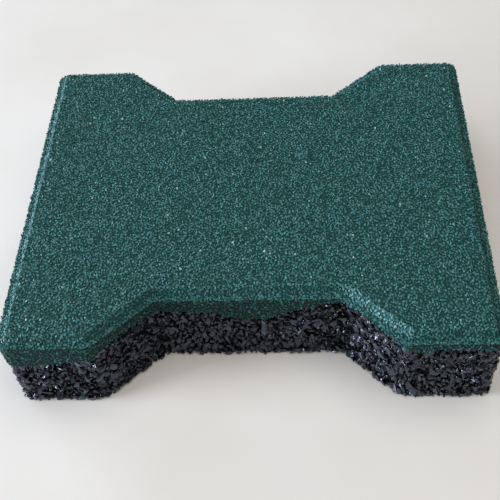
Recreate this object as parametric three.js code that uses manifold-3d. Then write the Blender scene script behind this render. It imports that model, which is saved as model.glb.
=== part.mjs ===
// Dog bone rubber paver: an interlocking I-shaped block pressed from rubber granules in two bonded layers.
// A fine green wearing layer lies on a coarse black base, and the line between them wanders.
// Units are millimetres. +Z is up and X runs along the notched sides.
// The origin is the middle of the underside.
import * as THREE from "three";
import { mergeVertices } from "three/addons/utils/BufferGeometryUtils.js";
import Module from "manifold-3d";

const wasm = await Module();
wasm.setup();

// Overall block.
const length = 200;
const width = 165;
const thickness = 45;

// Plan: four lobes, and a notch in each long side that takes two lobes of the next row, side by side.
const lobeFlat = 37.5; // straight end of one lobe, from the outer corner to its nose
const notchDepth = 22;
const jointClearance = 0.5; // spare room beside a neighbour's lobe in the notch

// Corner radii, seen from above.
const outerCornerRadius = 5;
const noseRadius = 5; // convex corner where a lobe's end turns into the notch's slope
const notchCornerRadius = 3; // concave corner at the notch's floor

// Top edge: a narrow flat rim, then a bevel up to the walking face.
const rimWidth = 2;
const bevelRun = 2.6;
const bevelDrop = 3;

// Layers.
const skirtDepth = 9; // how far the green reaches down the side, below the rim, on average
const bondGap = 0.3; // clearance between the two solids along their bond
const bondStep = 8; // spacing of the points that shape the bond
const swellReach = 12; // how far a usual swell of the green layer spreads along the side
const swellDepth = 7.5; // how far its deepest swell hangs below the average

// Segments along one rounded corner.
const cornerSegments = 4;

const halfLength = length / 2;
const halfWidth = width / 2;
const noseX = halfLength - lobeFlat;
const floorX = lobeFlat + jointClearance;
const floorY = halfWidth - notchDepth;
const slopeX = (noseX + floorX) / 2;
const slopeY = (halfWidth + floorY) / 2;
const rimHeight = thickness - bevelDrop;

// The corners of one quarter of the plan, from the notch's floor out to the lobe's outer corner.
const quarter = [
  { x: floorX, y: floorY, radius: notchCornerRadius, convex: false },
  { x: noseX, y: halfWidth, radius: noseRadius, convex: true },
  { x: halfLength, y: halfWidth, radius: outerCornerRadius, convex: true },
];

// All twelve corners, anticlockwise from the right end of the front notch's floor.
function planCorners() {
  const mirrored = (signX, signY) =>
    quarter.map((corner) => ({ ...corner, x: signX * corner.x, y: signY * corner.y }));
  return [
    ...mirrored(1, -1),
    ...mirrored(1, 1).reverse(),
    ...mirrored(-1, 1),
    ...mirrored(-1, -1).reverse(),
  ];
}

// The direction of the edge from one corner to the next.
function heading(from, to) {
  return new THREE.Vector2(to.x - from.x, to.y - from.y).normalize();
}

// The plan drawn a given distance inside the outer wall, with its rounded corners kept concentric.
function planOutline(inset) {
  const corners = planCorners();
  const shape = new THREE.Shape();
  corners.forEach((corner, i) => {
    const before = corners[(i + corners.length - 1) % corners.length];
    const after = corners[(i + 1) % corners.length];
    const into = heading(before, corner);
    const out = heading(corner, after);
    const turn = Math.acos(into.dot(out));
    const bend = corner.convex ? 1 : -1;
    const reach = Math.tan(turn / 2);
    // The centre stays put when the wall is inset, so only the radius changes.
    const start = new THREE.Vector2(corner.x, corner.y).addScaledVector(into, -corner.radius * reach);
    const inward = new THREE.Vector2(-into.y, into.x);
    const centre = start.clone().addScaledVector(inward, bend * corner.radius);
    const radius = corner.radius - bend * inset;
    const first = Math.atan2(-bend * into.x, bend * into.y);
    shape.absarc(centre.x, centre.y, radius, first, first + bend * turn, bend < 0);
  });
  shape.closePath();
  return shape;
}

// A closed geometry as a solid that can be cut and joined.
function solidOf(geometry) {
  const bare = geometry.clone();
  bare.deleteAttribute("normal");
  bare.deleteAttribute("uv");
  const merged = mergeVertices(bare, 1e-3);
  const mesh = new wasm.Mesh({
    numProp: 3,
    vertProperties: merged.attributes.position.array,
    triVerts: new Uint32Array(merged.index.array),
  });
  return new wasm.Manifold(mesh);
}

// A solid as a flat-shaded geometry.
function geometryOf(solid) {
  const mesh = solid.getMesh();
  const geometry = new THREE.BufferGeometry();
  geometry.setAttribute("position", new THREE.BufferAttribute(mesh.vertProperties, 3));
  geometry.setIndex(new THREE.BufferAttribute(mesh.triVerts, 1));
  const flat = geometry.toNonIndexed();
  flat.computeVertexNormals();
  return flat;
}

// A closed solid that runs up through level outlines, each given by its inset and its height.
function loft(levels) {
  const rings = levels.map(({ inset }) => planOutline(inset).getPoints(cornerSegments).slice(0, -1));
  const count = rings[0].length;
  const positions = rings.flatMap((ring, level) => ring.flatMap(({ x, y }) => [x, y, levels[level].height]));
  const index = [];
  for (let level = 0; level < rings.length - 1; level++) {
    for (let i = 0; i < count; i++) {
      const low = level * count + i;
      const lowNext = level * count + ((i + 1) % count);
      index.push(low, lowNext, lowNext + count, low, lowNext + count, low + count);
    }
  }
  const top = (rings.length - 1) * count;
  for (const [a, b, c] of THREE.ShapeUtils.triangulateShape(rings[0], [])) {
    index.push(c, b, a);
  }
  for (const [a, b, c] of THREE.ShapeUtils.triangulateShape(rings[rings.length - 1], [])) {
    index.push(top + a, top + b, top + c);
  }
  const geometry = new THREE.BufferGeometry();
  geometry.setAttribute("position", new THREE.Float32BufferAttribute(positions, 3));
  geometry.setIndex(index);
  return geometry;
}

// The whole pressed block: straight walls, the rim's narrow flat, then the bevel up to the walking face.
function block() {
  return solidOf(loft([
    { inset: 0, height: 0 },
    { inset: 0, height: rimHeight },
    { inset: rimWidth, height: rimHeight },
    { inset: rimWidth + bevelRun, height: thickness },
  ]));
}

// Where the green was pressed deeper (positive) or thinner (negative) than usual.
// Reach and depth are shares of the usual reach and of the deepest swell.
const swells = [
  { x: -halfLength, y: -halfWidth, reach: 1, depth: 0.6 },
  { x: -halfLength + lobeFlat / 2, y: -halfWidth, reach: 1.7, depth: 0.5 },
  { x: -slopeX, y: -slopeY, reach: 1, depth: -0.4 },
  { x: 0, y: -floorY, reach: 1, depth: 1 },
  { x: floorX, y: -floorY, reach: 1, depth: -0.75 },
  { x: slopeX, y: -slopeY, reach: 1, depth: -0.7 },
  { x: halfLength - lobeFlat / 2, y: -halfWidth, reach: 1.5, depth: -0.6 },
  { x: -halfLength, y: 0, reach: 1.8, depth: 0.4 },
  { x: -halfLength, y: slopeY, reach: 1.5, depth: -0.4 },
  { x: halfLength, y: floorX, reach: 1.7, depth: 0.5 },
  { x: halfLength, y: -floorX, reach: 1.3, depth: -0.3 },
  { x: -floorX, y: floorY, reach: 1.2, depth: 0.5 },
  { x: floorX, y: floorY, reach: 1, depth: -0.4 },
  { x: -noseX, y: halfWidth, reach: 1, depth: -0.4 },
  { x: noseX, y: halfWidth, reach: 1.2, depth: 0.4 },
];

// Height of the bond between the layers at a place in plan.
function bondHeight(x, y) {
  const swell = (sum, place) => {
    const apart = Math.hypot(x - place.x, y - place.y) / (place.reach * swellReach);
    return sum + place.depth * swellDepth * Math.exp(-apart * apart);
  };
  return rimHeight - swells.reduce(swell, skirtDepth);
}

// Everything below the bond, raised by a given amount: a box wider than the block, topped by the bond.
function belowBond(raise) {
  const boxLength = length + 2 * bondStep;
  const boxWidth = width + 2 * bondStep;
  const alongX = Math.round(boxLength / bondStep);
  const alongY = Math.round(boxWidth / bondStep);
  const box = new THREE.BoxGeometry(boxLength, boxWidth, thickness, alongX, alongY, 1);
  const points = box.attributes.position;
  for (let i = 0; i < points.count; i++) {
    const top = bondHeight(points.getX(i), points.getY(i)) + raise;
    const bottom = -bondStep;
    points.setZ(i, points.getZ(i) > 0 ? top : bottom);
  }
  return solidOf(box);
}

const greenRubber = new THREE.MeshStandardMaterial({
  color: 0x2e5f5b,
  roughness: 0.75,
  metalness: 0,
});

const blackRubber = new THREE.MeshStandardMaterial({
  color: 0x26262c,
  roughness: 0.6,
  metalness: 0,
});

// A named mesh from a solid.
function part(name, solid, material) {
  const mesh = new THREE.Mesh(geometryOf(solid), material);
  mesh.name = name;
  return mesh;
}

const wholeBlock = block();
const paver = new THREE.Group();
paver.add(part("black_base_layer", wholeBlock.intersect(belowBond(0)), blackRubber));
paver.add(part("green_top_layer", wholeBlock.subtract(belowBond(bondGap)), greenRubber));

export default paver;
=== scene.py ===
# %% [markdown]
# # A paver pressed from rubber granules
# The real object is an interlocking paver. Coarse black granules of recycled tyre rubber fill the lower part
# of a mould, finer granules in a green binder are spread on top, and a hot press bonds both into one block.
# So its surface isn't a skin with a pattern: it is thousands of granules that the mould's walls have
# flattened, with dark pits between them. This lesson builds it that way, granule by granule, around a plain
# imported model.

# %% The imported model
import math
import random

import bmesh
import bpy
from mathutils import Matrix, Vector


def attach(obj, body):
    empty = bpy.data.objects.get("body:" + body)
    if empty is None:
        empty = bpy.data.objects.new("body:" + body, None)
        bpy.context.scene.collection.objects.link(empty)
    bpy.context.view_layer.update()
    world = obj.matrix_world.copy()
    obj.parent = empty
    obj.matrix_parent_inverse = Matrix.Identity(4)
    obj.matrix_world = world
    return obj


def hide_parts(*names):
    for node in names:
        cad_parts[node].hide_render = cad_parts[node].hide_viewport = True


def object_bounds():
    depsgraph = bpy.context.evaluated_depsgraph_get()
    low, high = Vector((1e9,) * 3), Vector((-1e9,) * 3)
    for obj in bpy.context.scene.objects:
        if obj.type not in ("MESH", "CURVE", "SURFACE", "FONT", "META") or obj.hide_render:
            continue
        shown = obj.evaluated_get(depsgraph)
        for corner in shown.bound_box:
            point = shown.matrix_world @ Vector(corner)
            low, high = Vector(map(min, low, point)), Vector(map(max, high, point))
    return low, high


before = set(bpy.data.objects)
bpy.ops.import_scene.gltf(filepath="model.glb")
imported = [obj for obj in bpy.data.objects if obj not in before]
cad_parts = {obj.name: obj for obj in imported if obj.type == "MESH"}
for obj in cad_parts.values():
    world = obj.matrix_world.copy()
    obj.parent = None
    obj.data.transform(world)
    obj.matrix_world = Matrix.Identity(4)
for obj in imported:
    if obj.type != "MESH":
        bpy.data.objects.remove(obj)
cad_low, cad_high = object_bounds()
MM = 0.001
chance = random.Random(20)
print("packed model, mm:", [round(size / MM, 1) for size in cad_high - cad_low])

# %% [markdown]
# ## Three small tools
# Colours are picked as sRGB hex values, but Blender's shaders work on linear light, so one function turns one
# into the other. Node trees are long to write out, so a second function adds a node, sets its properties, and
# fills or links its inputs by name. It serves both kinds of tree used here, materials and geometry nodes. A
# third one gives a colour ramp its stops.

# %% Colours and nodes
def linear(hex_colour):
    """The linear colour, with alpha, of an sRGB hex value such as #336699."""
    channels = [int(hex_colour[i : i + 2], 16) / 255 for i in (1, 3, 5)]
    return [c / 12.92 if c <= 0.04045 else ((c + 0.055) / 1.055) ** 2.4 for c in channels] + [1.0]


def add(tree, kind, inputs=(), **settings):
    """Adds a node with its settings and its inputs.

    An input takes a value, a socket, or another node, which stands for its first output in use.
    """
    made = tree.nodes.new(kind)
    for name, value in settings.items():
        setattr(made, name, value)
    for name, value in dict(inputs).items():
        named = [socket for socket in made.inputs if socket.enabled and socket.name == name]
        target = made.inputs[name] if isinstance(name, int) else named[0]
        if isinstance(value, bpy.types.Node):
            value = next(socket for socket in value.outputs if socket.enabled)
        if isinstance(value, bpy.types.NodeSocket):
            tree.links.new(value, target)
        else:
            target.default_value = value
    return made


def set_stops(ramp, stops):
    """Gives a Color Ramp node its stops, which are pairs of a place from 0 to 1 and a hex colour."""
    elements = ramp.color_ramp.elements
    while len(elements) < len(stops):
        elements.new(1.0)
    for element, (place, hex_colour) in zip(elements, stops):
        element.position = place
        element.color = linear(hex_colour)


# %% [markdown]
# ## The camera
# The photograph looks down on the block from the front, a little right of its middle, and leans a few
# degrees. The camera's place, turns and lens were fitted to points along the block's outline in the
# photograph, whose places on the block are known.

# %% Camera
CAMERA_PLACE = Vector((22.7, -255.6, 320.5)) * MM
CAMERA_TURN = math.radians(5.797)
CAMERA_TILT = math.radians(38.534)
CAMERA_ROLL = math.radians(-5.596)
CAMERA_LENS = 60.86
SENSOR_WIDTH = 36.0
NEAREST_SEEN = 10 * MM

lens = bpy.data.cameras.new("camera")
lens.lens = CAMERA_LENS
lens.sensor_width = SENSOR_WIDTH
lens.clip_start = NEAREST_SEEN
camera = bpy.data.objects.new("camera", lens)
camera.matrix_world = (
    Matrix.Translation(CAMERA_PLACE)
    @ Matrix.Rotation(CAMERA_TURN, 4, "Z")
    @ Matrix.Rotation(CAMERA_TILT, 4, "X")
    @ Matrix.Rotation(CAMERA_ROLL, 4, "Z")
)
bpy.context.scene.collection.objects.link(camera)
bpy.context.scene.camera = camera
print("camera at, mm:", [round(place / MM) for place in camera.location])

# %% [markdown]
# ## The studio
# The block lies on a pale floor, dull and nearly white. One large square does for it, with a soft noise
# between two close shades, so that it looks a little cloudy.

# %% Floor
FLOOR_SIZE = 12.0
FLOOR_CLOUDS_PER_METRE = 9.0
FLOOR_CLOUD_DETAIL = 4.0
FLOOR_COLOURS = [(0.35, "#e3e1dd"), (0.65, "#ebeae8")]
FLOOR_ROUGHNESS = 0.6

floor_mesh = bpy.data.meshes.new("floor")
floor_shape = bmesh.new()
bmesh.ops.create_grid(floor_shape, x_segments=1, y_segments=1, size=FLOOR_SIZE / 2)
floor_shape.to_mesh(floor_mesh)
floor_shape.free()
floor = bpy.data.objects.new("floor", floor_mesh)
bpy.context.scene.collection.objects.link(floor)


def pale_finish():
    """The floor's finish."""
    finish = bpy.data.materials.new("pale_floor")
    finish.use_nodes = True
    nodes = finish.node_tree
    pattern = {
        "Vector": add(nodes, "ShaderNodeTexCoord").outputs["Object"],
        "Scale": FLOOR_CLOUDS_PER_METRE,
        "Detail": FLOOR_CLOUD_DETAIL,
    }
    clouds = add(nodes, "ShaderNodeTexNoise", pattern)
    shades = add(nodes, "ShaderNodeValToRGB", {"Fac": clouds.outputs["Fac"]})
    set_stops(shades, FLOOR_COLOURS)
    shader = nodes.nodes["Principled BSDF"]
    nodes.links.new(shades.outputs["Color"], shader.inputs["Base Color"])
    shader.inputs["Roughness"].default_value = FLOOR_ROUGHNESS
    return finish


floor_mesh.materials.append(pale_finish())
print("floor of", FLOOR_SIZE, "m")

# %% [markdown]
# The light is soft daylight. Two cool lights at the left, like a window and an open doorway, make the left
# bevel shine and leave a soft shadow on the right. A broad warmer light above keeps the floor bright close to
# the block, and a weak plain sky fills the rest, so that faces turned away from the window stay dark.

# %% Light
WINDOW = {"place": (-2850, -500, 480), "size": (1300, 760), "watts": 172.0, "colour": (0.78, 0.86, 1.0)}
DOORWAY = {"place": (-2300, 1700, 550), "size": (2400, 900), "watts": 58.0, "colour": (0.74, 0.86, 1.0)}
CEILING = {"place": (300, -400, 3000), "size": (3400, 3400), "watts": 73.0, "colour": (1.0, 0.95, 0.89)}
SKY_COLOUR = (1.0, 0.95, 0.88, 1.0)
SKY_STRENGTH = 0.12


def soft_light(name, place, size, watts, colour):
    """An area light aimed at the block. Its place and its width and height are in millimetres."""
    lamp = bpy.data.lights.new(name, "AREA")
    lamp.shape = "RECTANGLE"
    lamp.size = size[0] * MM
    lamp.size_y = size[1] * MM
    lamp.energy = watts
    lamp.color = colour
    holder = bpy.data.objects.new(name, lamp)
    holder.location = Vector(place) * MM
    holder.rotation_euler = (-Vector(place)).to_track_quat("-Z", "Y").to_euler()
    bpy.context.scene.collection.objects.link(holder)


soft_light("window", **WINDOW)
soft_light("doorway", **DOORWAY)
soft_light("ceiling", **CEILING)

sky = bpy.data.worlds.new("sky")
sky.use_nodes = True
background = sky.node_tree.nodes["Background"]
background.inputs["Color"].default_value = SKY_COLOUR
background.inputs["Strength"].default_value = SKY_STRENGTH
bpy.context.scene.world = sky
bpy.context.scene.view_settings.view_transform = "Standard"
print("watts of window, doorway and ceiling:", WINDOW["watts"], DOORWAY["watts"], CEILING["watts"])

# %% [markdown]
# ## Rubber finishes
# Each granule carries two chance numbers from 0 to 1, stored on its mesh as the attributes tone and gloss. A
# finish turns tone into the granule's colour and gloss into its roughness, so that neighbours look different.
#
# The black granules are cut from recycled tyres, which are rubber filled with soot. That makes them nearly
# black, and a cut face is smooth enough to flash bluish where it faces the daylight. The last two colours
# make a few granules greenish or grey.

# %% Black tyre rubber
RUBBER_IOR = 1.52
GRIT_DETAIL = 2.0


def granule_rubber(name, colours, roughness, specular, sheen, grit, grit_depth):
    """Rubber whose colour and roughness change from granule to granule, with grit on its faces.

    roughness is a pair, specular the strength of the shine and sheen its colour. grit is the size of the grit
    and grit_depth its depth, both in millimetres.
    """
    finish = bpy.data.materials.new(name)
    finish.use_nodes = True
    nodes = finish.node_tree
    tone = add(nodes, "ShaderNodeAttribute", attribute_name="tone").outputs["Fac"]
    gloss = add(nodes, "ShaderNodeAttribute", attribute_name="gloss").outputs["Fac"]
    body = add(nodes, "ShaderNodeValToRGB", {"Fac": tone})
    set_stops(body, colours)
    low, high = roughness
    matt = add(nodes, "ShaderNodeMapRange", {"Value": gloss, "To Min": low, "To Max": high})
    place = add(nodes, "ShaderNodeTexCoord").outputs["Object"]
    pattern = {"Vector": place, "Scale": 1 / (grit * MM), "Detail": GRIT_DETAIL}
    grain = add(nodes, "ShaderNodeTexNoise", pattern)
    bump = add(nodes, "ShaderNodeBump", {"Height": grain.outputs["Fac"], "Distance": grit_depth * MM})
    rubber = nodes.nodes["Principled BSDF"]
    nodes.links.new(body.outputs["Color"], rubber.inputs["Base Color"])
    nodes.links.new(matt.outputs["Result"], rubber.inputs["Roughness"])
    nodes.links.new(bump.outputs["Normal"], rubber.inputs["Normal"])
    rubber.inputs["IOR"].default_value = RUBBER_IOR
    rubber.inputs["Specular IOR Level"].default_value = specular
    rubber.inputs["Specular Tint"].default_value = linear(sheen)
    print(name, "with", len(colours), "colour stops")
    return finish


TYRE_COLOURS = [
    (0.0, "#0a0b0e"),
    (0.4, "#12141a"),
    (0.75, "#1d212a"),
    (0.9, "#27292f"),
    (0.96, "#1c322d"),
    (1.0, "#4b5466"),
]
tyre_rubber = granule_rubber(
    "tyre_rubber_cut",
    TYRE_COLOURS,
    roughness=(0.12, 0.4),
    specular=0.85,
    sheen="#d8e2f8",
    grit=0.7,
    grit_depth=0.2,
)

# %% [markdown]
# The green layer is the same kind of granule, cut finer and coated by a pigmented binder, which leaves it
# matt. In the photograph its sides shine less than its top, so they have a finish of their own.

# %% Green bonded rubber
# The darkest stops are painted shade of pits: some granules on top take them, and the bevel and skirt more.
GREEN_COLOURS = [
    (0.0, "#0a3a35"),
    (0.1, "#1a5652"),
    (0.2, "#2d6563"),
    (0.8, "#346e6e"),
    (0.99, "#337876"),
    (1.0, "#a3bfbd"),
]
green_rubber = granule_rubber(
    "green_bonded_rubber",
    GREEN_COLOURS,
    roughness=(0.5, 0.7),
    specular=0.85,
    sheen="#e4f2ff",
    grit=0.3,
    grit_depth=0.05,
)
green_side_rubber = granule_rubber(
    "green_bonded_rubber_sides",
    GREEN_COLOURS,
    roughness=(0.5, 0.8),
    specular=0.35,
    sheen="#d0f0e8",
    grit=0.3,
    grit_depth=0.05,
)

# %% [markdown]
# Between the granules lies the binder, which is usually a polyurethane glue. It sits in the pits. Its dark
# colour is its own, and on the green layer it is also painted shade of the pits, darker still on upright
# faces as painted shade of the deeper pits there. It has a little grain and hardly any shine.

# %% Binder
BINDER_ROUGHNESS = 0.7
BINDER_SPECULAR = 0.2
BINDER_GRAIN_DEPTH = 0.3 * MM
FLAT_ENOUGH = 0.5


def binder(name, dark, light, grain_size, painted_shade_on_sides=1.0):
    """The binder in the pits between granules, mottled at grain_size millimetres.

    The last argument paints shade on upright faces, where the pits are deeper: it is how bright the binder is
    there, as a share of its brightness on top. Faces whose normal's height is FLAT_ENOUGH or more have the
    full brightness.
    """
    finish = bpy.data.materials.new(name)
    finish.use_nodes = True
    nodes = finish.node_tree
    place = add(nodes, "ShaderNodeTexCoord").outputs["Object"]
    cells = add(nodes, "ShaderNodeTexVoronoi", {"Vector": place, "Scale": 1 / (grain_size * MM)})
    body = add(nodes, "ShaderNodeValToRGB", {"Fac": cells.outputs["Distance"]})
    set_stops(body, [(0.1, light), (0.6, dark)])
    rubber = nodes.nodes["Principled BSDF"]
    normal = add(nodes, "ShaderNodeNewGeometry").outputs["Normal"]
    height = add(nodes, "ShaderNodeSeparateXYZ", {"Vector": normal}).outputs["Z"]
    # Painted shade: upright faces get a darker base colour than level ones.
    shading = {"Value": height, "From Max": FLAT_ENOUGH, "To Min": painted_shade_on_sides}
    share = add(nodes, "ShaderNodeMapRange", shading)
    shaded = add(nodes, "ShaderNodeVectorMath", {0: body.outputs["Color"], "Scale": share}, operation="SCALE")
    nodes.links.new(shaded.outputs["Vector"], rubber.inputs["Base Color"])
    grain = {"Height": cells.outputs["Distance"], "Distance": BINDER_GRAIN_DEPTH}
    bump = add(nodes, "ShaderNodeBump", grain, invert=True)
    nodes.links.new(bump.outputs["Normal"], rubber.inputs["Normal"])
    rubber.inputs["Roughness"].default_value = BINDER_ROUGHNESS
    rubber.inputs["Specular IOR Level"].default_value = BINDER_SPECULAR
    print(name, "with grain of", grain_size, "mm")
    return finish


black_binder = binder("black_binder", "#0c0d10", "#1b1d22", grain_size=2.5)
# Painted shade: the green binder is darker than its granules, and darker again on upright faces.
green_binder = binder("green_binder", "#134442", "#225a58", grain_size=1.1, painted_shade_on_sides=0.25)

# %% [markdown]
# ## Single granules
# A cut granule has a few flat faces and sharp edges. The convex hull of some points chosen by chance on a
# stretched ball gives just that, with so few faces that tens of thousands of copies stay light. Each kind
# gets several different ones.

# %% Granule shapes
def granule(name, corners, stretch):
    """One angular granule, about 2 units across, as an object that isn't in the scene."""
    shape = bmesh.new()
    for _ in range(corners):
        way = Vector((chance.gauss(0, 1), chance.gauss(0, 1), chance.gauss(0, 1))).normalized()
        shape.verts.new(way * Vector(stretch))
    bmesh.ops.convex_hull(shape, input=shape.verts)
    bmesh.ops.recalc_face_normals(shape, faces=shape.faces)
    mesh = bpy.data.meshes.new(name)
    shape.to_mesh(mesh)
    shape.free()
    return bpy.data.objects.new(name, mesh)


def granule_set(name, kinds, copies):
    """A collection with several granules of each kind. A kind is its number of corners and its stretch."""
    collection = bpy.data.collections.new(name)
    for kind, (corners, stretch) in enumerate(kinds):
        for copy in range(copies):
            collection.objects.link(granule(f"{name}_{kind}_{copy}", corners, stretch))
    return collection


COARSE_KINDS = [
    (14, (1.0, 0.85, 0.7)),
    (12, (1.2, 0.8, 0.6)),
    (10, (1.4, 0.65, 0.5)),
]
FINE_KINDS = [
    (8, (1.0, 0.9, 0.75)),
    (8, (1.2, 0.8, 0.7)),
]
coarse_granules = granule_set("coarse_granules", COARSE_KINDS, copies=7)
fine_granules = granule_set("fine_granules", FINE_KINDS, copies=8)

# %% [markdown]
# ## Where the granules lie
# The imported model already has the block's faces where they belong, with the wandering line between its
# layers. So each field of granules starts as a merged copy of a node's mesh, from which the faces that it
# doesn't cover are deleted. The direction of a face tells what it is: walls are upright, the underside faces
# down, the bevel leans, and the rim and the walking face are level. A face that stays within the top margin
# of the block's full height is the walking face, and the rim lies below that.

# %% Fields
WELD = 0.001 * MM
UPRIGHT = 0.1
LEVEL = 0.95
DOWNWARD = -0.5
TOP_MARGIN = 1 * MM
SQUARE_MM = MM**2


def field(node_name, covers):
    """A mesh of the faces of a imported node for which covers(face) is true."""
    shape = bmesh.new()
    shape.from_mesh(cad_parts[node_name].data)
    bmesh.ops.remove_doubles(shape, verts=shape.verts, dist=WELD)
    shape.normal_update()
    others = [face for face in shape.faces if not covers(face)]
    bmesh.ops.delete(shape, geom=others, context="FACES")
    mesh = bpy.data.meshes.new(node_name + "_field")
    shape.to_mesh(mesh)
    shape.free()
    area = sum(face.area for face in mesh.polygons)
    print(node_name, "field of", len(mesh.polygons), "faces,", round(area / SQUARE_MM), "mm2")
    return mesh


def joined(name, meshes):
    """One mesh of several."""
    shape = bmesh.new()
    for mesh in meshes:
        shape.from_mesh(mesh)
    whole = bpy.data.meshes.new(name)
    shape.to_mesh(whole)
    shape.free()
    return whole


def is_upright(face):
    """Whether a face is part of a wall."""
    return abs(face.normal.z) < UPRIGHT


walking_height = cad_high.z - TOP_MARGIN
black_walls = field("black_base_layer", is_upright)
black_underside = field("black_base_layer", lambda face: face.normal.z < DOWNWARD)
green_top = field("green_top_layer", lambda face: min(vert.co.z for vert in face.verts) > walking_height)
green_rim = field(
    "green_top_layer",
    lambda face: face.normal.z > LEVEL and max(vert.co.z for vert in face.verts) < walking_height,
)
green_bevel = field("green_top_layer", lambda face: UPRIGHT < face.normal.z < LEVEL)
green_skirt = field("green_top_layer", is_upright)

# %% [markdown]
# The walls of both layers make one field, the sides, because granules of both kinds meet there. All fields
# together are the inside of the mould, with nothing where the layers meet.

# %% Sides and mould
sides = joined("sides", [black_walls, green_skirt])
black_side = bpy.data.objects.new("black_side", black_walls)
green_side = bpy.data.objects.new("green_side", green_skirt)
mould = joined("mould", [sides, black_underside, green_rim, green_bevel, green_top])
mould_inside = bpy.data.objects.new("mould", mould)
print("mould of", len(mould.polygons), "faces")

# %% [markdown]
# ## The bed
# Seen through the pits, the block goes on as packed granules and binder. Its bed is each layer's own shape,
# drawn in a little from the mould's walls, so that nothing is hollow or see-through behind the granules. The
# pits are deeper on the sides than on top, where the press bore down. The black bed is drawn in further on
# the sides, while the green bed is drawn in less there, and painted shade in its binder darkens them instead.

# %% Beds
def bed(name, node_name, drawn_in, finish):
    """The body of a layer behind its granules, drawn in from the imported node.

    drawn_in is a pair of distances in millimetres, from the sides and from the top and the underside.
    """
    shape = bmesh.new()
    shape.from_mesh(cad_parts[node_name].data)
    bmesh.ops.remove_doubles(shape, verts=shape.verts, dist=WELD)
    shape.normal_update()
    sideways, level = drawn_in
    reach = Vector((sideways, sideways, level)) * MM
    moves = [vert.normal * -vert.calc_shell_factor() * reach for vert in shape.verts]
    for vert, move in zip(shape.verts, moves):
        vert.co += move
    mesh = bpy.data.meshes.new(name)
    shape.to_mesh(mesh)
    shape.free()
    mesh.materials.append(finish)
    piece = bpy.data.objects.new(name, mesh)
    bpy.context.scene.collection.objects.link(piece)
    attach(piece, "root")
    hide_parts(node_name)
    print(name, "has", len(mesh.polygons), "faces")


bed("black_bed", "black_base_layer", (2.6, 2.0), black_binder)
bed("green_bed", "green_top_layer", (0.35, 0.55), green_binder)

# %% [markdown]
# ## Scattering and pressing
# Geometry nodes do what the mould does. Each of the next six code cells writes a part of their tree, and the
# one after those puts the parts together.
#
# First, points are spread over a field so that no two are too close. The granules in the photograph look a
# little taller than they are wide, so the field is squeezed in depth and height before that, and the pressed
# granules are stretched back.

# %% Points over a field
STRETCH = 1.25
MORE_THAN_FIT = 5


def spread_points(tree, surface, spacing, seed):
    """Spreads points over a surface, at least spacing millimetres apart. Returns the node."""
    squeeze = (1.0, 1 / STRETCH, 1 / STRETCH)
    squeezed = add(tree, "GeometryNodeTransform", {"Geometry": surface, "Scale": squeeze})
    tries = {
        "Mesh": squeezed,
        "Distance Min": spacing * MM,
        "Density Max": MORE_THAN_FIT / (spacing * MM) ** 2,
        "Seed": seed,
    }
    return add(tree, "GeometryNodeDistributePointsOnFaces", tries, distribute_method="POISSON")


# %% [markdown]
# The line between the layers isn't smooth. Both kinds of granule are spread over the whole sides, and each
# point asks which layer is nearer. A noise a few millimetres long moves that decision up and down, so black
# stones reach up into the green, and the green hangs down between them.

# %% Points of one layer
WANDER_LENGTH = 7.0
WANDER = 5.0
NOISE_MIDDLE = 0.5


def distance_to(tree, side, place):
    """The distance from a place to an object's surface, as a socket."""
    target = add(tree, "GeometryNodeObjectInfo", {"Object": side}).outputs["Geometry"]
    near = add(tree, "GeometryNodeProximity", {"Geometry": target, "Sample Position": place})
    return near.outputs["Distance"]


def points_of_layer(tree, points, layer):
    """Keeps the points that belong to one layer, which is "black" or "green"."""
    back = (1.0, STRETCH, STRETCH)
    place = add(tree, "GeometryNodeInputPosition")
    stretched = add(tree, "ShaderNodeVectorMath", {0: place, 1: back}, operation="MULTIPLY")
    noise = add(tree, "ShaderNodeTexNoise", {"Vector": stretched, "Scale": 1 / (WANDER_LENGTH * MM)})
    centred = add(tree, "ShaderNodeMath", {0: noise, 1: NOISE_MIDDLE}, operation="SUBTRACT")
    wander = add(tree, "ShaderNodeMath", {0: centred, 1: WANDER * MM}, operation="MULTIPLY")
    from_black = distance_to(tree, black_side, stretched)
    from_green = distance_to(tree, green_side, stretched)
    nearer = add(tree, "ShaderNodeMath", {0: from_black, 1: from_green}, operation="SUBTRACT")
    compare = "LESS_THAN" if layer == "black" else "GREATER_THAN"
    chosen = add(tree, "ShaderNodeMath", {0: nearer, 1: wander}, operation=compare)
    return add(tree, "GeometryNodeSeparateGeometry", {"Geometry": points, "Selection": chosen})


# %% [markdown]
# Next, each point remembers its place on the wall and which way the wall faces. The wall that a granule is
# pushed against is tipped by some degrees of its own, so that its flat face catches the light in its own way.
# Each chance value of a tree has its own number, so that none repeats another.

# %% What a point remembers
TIP_DRAW, ALLOWANCE_DRAW, TONE_DRAW, GLOSS_DRAW, DEPTH_DRAW, TURN_DRAW, SIZE_DRAW = range(1, 8)
SEED_STEP = 10


def limits(low, high, seed, draw):
    """The inputs of a Random Value node."""
    return {"Min": low, "Max": high, "Seed": seed * SEED_STEP + draw}


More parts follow.
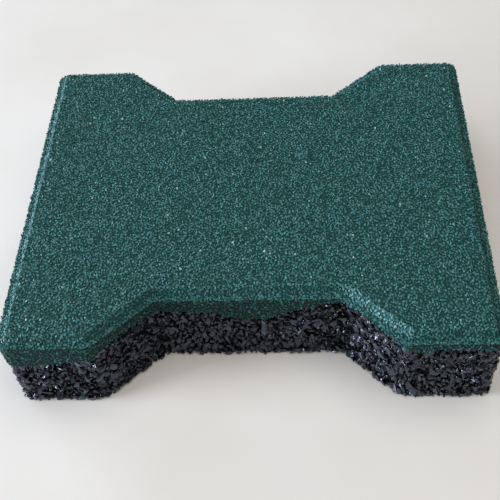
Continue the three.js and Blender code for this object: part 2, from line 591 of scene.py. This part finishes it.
def remember(tree, points, normal, tip, allowance, tones, seed):
    """Stores on each point its wall's place, way and allowance, and its granule's tone and gloss."""
    tips = limits((-tip,) * 3, (tip,) * 3, seed, TIP_DRAW)
    lean = add(tree, "FunctionNodeRandomValue", tips, data_type="FLOAT_VECTOR")
    tipped = add(tree, "ShaderNodeVectorMath", {0: normal, 1: lean}, operation="ADD")
    least, most = allowance
    values = {
        "wall_allowance": limits(least * MM, most * MM, seed, ALLOWANCE_DRAW),
        "tone": limits(*tones, seed, TONE_DRAW),
        "gloss": limits(0.0, 1.0, seed, GLOSS_DRAW),
    }
    marks = {
        "wall_place": (add(tree, "GeometryNodeInputPosition"), "FLOAT_VECTOR"),
        "wall_way": (add(tree, "ShaderNodeVectorMath", {0: tipped}, operation="NORMALIZE"), "FLOAT_VECTOR"),
    }
    for name, inputs in values.items():
        marks[name] = (add(tree, "FunctionNodeRandomValue", inputs, data_type="FLOAT"), "FLOAT")
    for name, (value, kind) in marks.items():
        inputs = {"Geometry": points, "Name": name, "Value": value}
        points = add(tree, "GeometryNodeStoreNamedAttribute", inputs, data_type=kind, domain="POINT")
    return points


# %% [markdown]
# Each point then gets a granule, turned by chance and sunk a little behind the mould's wall. All copies are
# made real at once, because pressing moves their corners one by one.

# %% Granules on the points
LEAN = 0.6


def granules_on(tree, points, spread, granules, size, sunk, seed):
    """Puts granules on points. spread is the node that made the points."""
    shallow, deep = sunk
    depths = limits(-deep * MM, -shallow * MM, seed, DEPTH_DRAW)
    depth = add(tree, "FunctionNodeRandomValue", depths, data_type="FLOAT")
    inwards = {0: spread.outputs["Normal"], "Scale": depth}
    offset = add(tree, "ShaderNodeVectorMath", inwards, operation="SCALE")
    points = add(tree, "GeometryNodeSetPosition", {"Geometry": points, "Offset": offset})
    turns = limits((-LEAN, -LEAN, 0.0), (LEAN, LEAN, 2 * math.pi), seed, TURN_DRAW)
    angles = add(tree, "FunctionNodeRandomValue", turns, data_type="FLOAT_VECTOR")
    turn = add(tree, "FunctionNodeEulerToRotation", {"Euler": angles})
    rotation = {"Rotation": spread.outputs["Rotation"], "Rotate By": turn}
    turned = add(tree, "FunctionNodeRotateRotation", rotation, rotation_space="LOCAL")
    choice = {"Collection": granules, "Separate Children": True, "Reset Children": True}
    shapes = add(tree, "GeometryNodeCollectionInfo", choice)
    smallest, largest = size
    sizes = limits(smallest / 2 * MM, largest / 2 * MM, seed, SIZE_DRAW)
    scale = add(tree, "FunctionNodeRandomValue", sizes, data_type="FLOAT")
    copies = {
        "Points": points,
        "Instance": shapes,
        "Pick Instance": True,
        "Rotation": turned,
        "Scale": scale,
    }
    copied = add(tree, "GeometryNodeInstanceOnPoints", copies)
    return add(tree, "GeometryNodeRealizeInstances", {"Geometry": copied})


# %% [markdown]
# Now the press closes. Every corner that would stick out through its granule's wall by more than its
# allowance is pushed back, straight against the wall's way.

# %% Pressing against a granule's own wall
def pressed(tree, granules):
    """Pushes corners back behind the wall that each granule remembers."""
    place = add(tree, "GeometryNodeInputPosition")
    way = add(tree, "GeometryNodeInputNamedAttribute", {"Name": "wall_way"}, data_type="FLOAT_VECTOR")
    wall = add(tree, "GeometryNodeInputNamedAttribute", {"Name": "wall_place"}, data_type="FLOAT_VECTOR")
    spare = add(tree, "GeometryNodeInputNamedAttribute", {"Name": "wall_allowance"}, data_type="FLOAT")
    from_wall = add(tree, "ShaderNodeVectorMath", {0: place, 1: wall}, operation="SUBTRACT")
    height = add(tree, "ShaderNodeVectorMath", {0: from_wall, 1: way}, operation="DOT_PRODUCT")
    over = add(tree, "ShaderNodeMath", {0: height.outputs["Value"], 1: spare}, operation="SUBTRACT")
    proud = add(tree, "ShaderNodeMath", {0: over, 1: 0.0}, operation="MAXIMUM")
    back = add(tree, "ShaderNodeMath", {0: proud, 1: -1.0}, operation="MULTIPLY")
    push = add(tree, "ShaderNodeVectorMath", {0: way, "Scale": back}, operation="SCALE")
    return add(tree, "GeometryNodeSetPosition", {"Geometry": granules, "Offset": push})


# %% [markdown]
# Near an edge a corner may still reach past the mould's other wall. So all that lies outside the mould by
# more than a little goes back towards its nearest face, and nothing stays below the floor.

# %% Keeping all inside the mould
def inside_mould(tree, granules, strays):
    """Pushes back what lies more than strays millimetres outside the mould."""
    place = add(tree, "GeometryNodeInputPosition")
    walls = add(tree, "GeometryNodeObjectInfo", {"Object": mould_inside}).outputs["Geometry"]
    sampled = {"Mesh": walls, "Value": place}
    nearest = add(tree, "GeometryNodeSampleNearestSurface", sampled, data_type="FLOAT_VECTOR")
    sampled = {"Mesh": walls, "Value": add(tree, "GeometryNodeInputNormal")}
    facing = add(tree, "GeometryNodeSampleNearestSurface", sampled, data_type="FLOAT_VECTOR")
    beyond = add(tree, "ShaderNodeVectorMath", {0: place, 1: nearest}, operation="SUBTRACT")
    outside = add(tree, "ShaderNodeVectorMath", {0: beyond, 1: facing}, operation="DOT_PRODUCT")
    over = add(tree, "ShaderNodeMath", {0: outside.outputs["Value"], 1: strays * MM}, operation="SUBTRACT")
    proud = add(tree, "ShaderNodeMath", {0: over, 1: 0.0}, operation="MAXIMUM")
    back = add(tree, "ShaderNodeMath", {0: proud, 1: -1.0}, operation="MULTIPLY")
    straight = add(tree, "ShaderNodeVectorMath", {0: beyond}, operation="NORMALIZE")
    push = add(tree, "ShaderNodeVectorMath", {0: straight, "Scale": back}, operation="SCALE")
    return add(tree, "GeometryNodeSetPosition", {"Geometry": granules, "Offset": push})


def on_floor(tree, granules):
    """Lifts what lies below the floor onto it."""
    place = add(tree, "GeometryNodeInputPosition")
    part = add(tree, "ShaderNodeSeparateXYZ", {"Vector": place}).outputs
    lifted = add(tree, "ShaderNodeMath", {0: part["Z"], 1: 0.0}, operation="MAXIMUM")
    position = add(tree, "ShaderNodeCombineXYZ", {"X": part["X"], "Y": part["Y"], "Z": lifted})
    return add(tree, "GeometryNodeSetPosition", {"Geometry": granules, "Position": position})


# %% [markdown]
# Put together, the parts make one tree for each field and kind of granule.

# %% The whole tree
def scatter_tree(name, granules, spacing, size, sunk, tip, allowance, strays, tones, seed, layer=None):
    """The node tree that covers a mesh with pressed granules.

    Lengths are in millimetres, and size, sunk, allowance and tones are ranges.
    """
    tree = bpy.data.node_groups.new(name, "GeometryNodeTree")
    tree.interface.new_socket("Geometry", in_out="INPUT", socket_type="NodeSocketGeometry")
    tree.interface.new_socket("Geometry", in_out="OUTPUT", socket_type="NodeSocketGeometry")
    spread = spread_points(tree, add(tree, "NodeGroupInput"), spacing, seed)
    points = spread.outputs["Points"]
    if layer:
        points = points_of_layer(tree, points, layer)
    points = remember(tree, points, spread.outputs["Normal"], tip, allowance, tones, seed)
    loose = granules_on(tree, points, spread, granules, size, sunk, seed)
    back = {"Geometry": pressed(tree, loose), "Scale": (1.0, STRETCH, STRETCH)}
    stretched = add(tree, "GeometryNodeTransform", back)
    moulded = inside_mould(tree, stretched, strays)
    add(tree, "NodeGroupOutput", {"Geometry": on_floor(tree, moulded)})
    print(name, "tree has", len(tree.nodes), "nodes")
    return tree


# %% [markdown]
# The tree runs once for each field, and its result is kept as plain mesh, so that nothing is left to work out
# later. Cut rubber has edges that are a little worn, so only the sharper ones stay sharp in the shading.

# %% Granule layers
ROUND_BELOW = math.radians(45)


def granule_mesh(surface, tree):
    """The mesh that a scattering tree makes of a surface."""
    carrier = bpy.data.objects.new(tree.name, surface)
    bpy.context.scene.collection.objects.link(carrier)
    carrier.modifiers.new("scatter", "NODES").node_group = tree
    depsgraph = bpy.context.evaluated_depsgraph_get()
    mesh = bpy.data.meshes.new_from_object(carrier.evaluated_get(depsgraph))
    bpy.data.objects.remove(carrier)
    for attribute in ("wall_place", "wall_way", "wall_allowance"):
        mesh.attributes.remove(mesh.attributes[attribute])
    return mesh


def granule_layer(name, surface, trees, finish):
    """One piece made of the granules that one or more trees scatter over a surface."""
    layer = bmesh.new()
    for tree in trees:
        mesh = granule_mesh(surface, tree)
        layer.from_mesh(mesh)
        bpy.data.meshes.remove(mesh)
    whole = bpy.data.meshes.new(name)
    layer.to_mesh(whole)
    layer.free()
    whole.materials.clear()
    whole.materials.append(finish)
    whole.shade_smooth()
    whole.set_sharp_from_angle(angle=ROUND_BELOW)
    piece = bpy.data.objects.new(name, whole)
    bpy.context.scene.collection.objects.link(piece)
    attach(piece, "root")
    triangles = sum(len(face.vertices) - 2 for face in whole.polygons)
    print(name, "has", triangles, "triangles")


# %% [markdown]
# ## The black granules
# The base is a mix of sizes. Coarse granules lie first, and medium ones fill the gaps between them, pressed
# back a little further. The underside is hidden in use, so its medium ones are spread more thinly.

# %% Black walls and underside
COARSE = {
    "spacing": 2.3,
    "size": (2.4, 4.8),
    "sunk": (0.9, 2.1),
    "tip": 0.5,
    "allowance": (-0.4, 0.5),
    "strays": 0.3,
    "tones": (0.0, 1.0),
}
MEDIUM = {
    **COARSE,
    "spacing": 1.3,
    "size": (1.4, 2.4),
    "sunk": (0.8, 2.0),
    "allowance": (-0.9, 0.2),
    "strays": 0.2,
}
BLACK_FIELDS = [
    ("walls", sides, "black", 3, {"coarse": COARSE, "medium": MEDIUM}),
    ("underside", black_underside, None, 4, {"coarse": COARSE, "medium": {**MEDIUM, "spacing": 1.5}}),
]
MIX_SEED_STEP = 10

for side, surface, layer, seed, mix in BLACK_FIELDS:
    trees = []
    for step, (kind, pressing) in enumerate(mix.items()):
        own_seed = seed + step * MIX_SEED_STEP
        tree = scatter_tree(f"{kind}_{side}", coarse_granules, seed=own_seed, layer=layer, **pressing)
        trees.append(tree)
    granule_layer(f"black_granules_{side}", surface, trees, tyre_rubber)

# %% [markdown]
# ## The green granules
# The wearing layer is fine and closed. On top the press leaves it flush, with small dark pits. The bevel has
# the darker tones, as painted shade, and the rim the lighter ones, as painted light. The skirt is looser and
# has only the deepest tones, as painted shade of its pits.

# %% Green top, rim, bevel and skirt
FINE = {
    "spacing": 0.88,
    "size": (1.1, 1.5),
    "sunk": (-0.05, 0.15),
    "tip": 0.1,
    "allowance": (-0.12, 0.03),
    "strays": 0.03,
    "tones": (0.0, 1.0),
}
LOOSE_WITH_PAINTED_SHADE = {
    **FINE,
    "spacing": 0.95,
    "size": (1.2, 1.9),
    "sunk": (0.0, 0.45),
    "tip": 0.35,
    "allowance": (-0.3, 0.03),
    # only the deepest tones, as painted shade of the skirt's pits
    "tones": (0.0, 0.22),
}
# Painted light and shade: the rim takes lighter tones and the bevel darker ones, by how each faces the light.
GREEN_FIELDS = [
    ("top", green_top, None, 5, FINE, green_rubber),
    ("rim", green_rim, None, 8, {**FINE, "tones": (0.7, 0.99)}, green_rubber),
    ("bevel", green_bevel, None, 7, {**FINE, "tones": (0.0, 0.45)}, green_rubber),
    ("skirt", sides, "green", 6, LOOSE_WITH_PAINTED_SHADE, green_side_rubber),
]

for side, surface, layer, seed, pressing, finish in GREEN_FIELDS:
    tree = scatter_tree(f"fine_{side}", fine_granules, seed=seed, layer=layer, **pressing)
    granule_layer(f"green_granules_{side}", surface, [tree], finish)
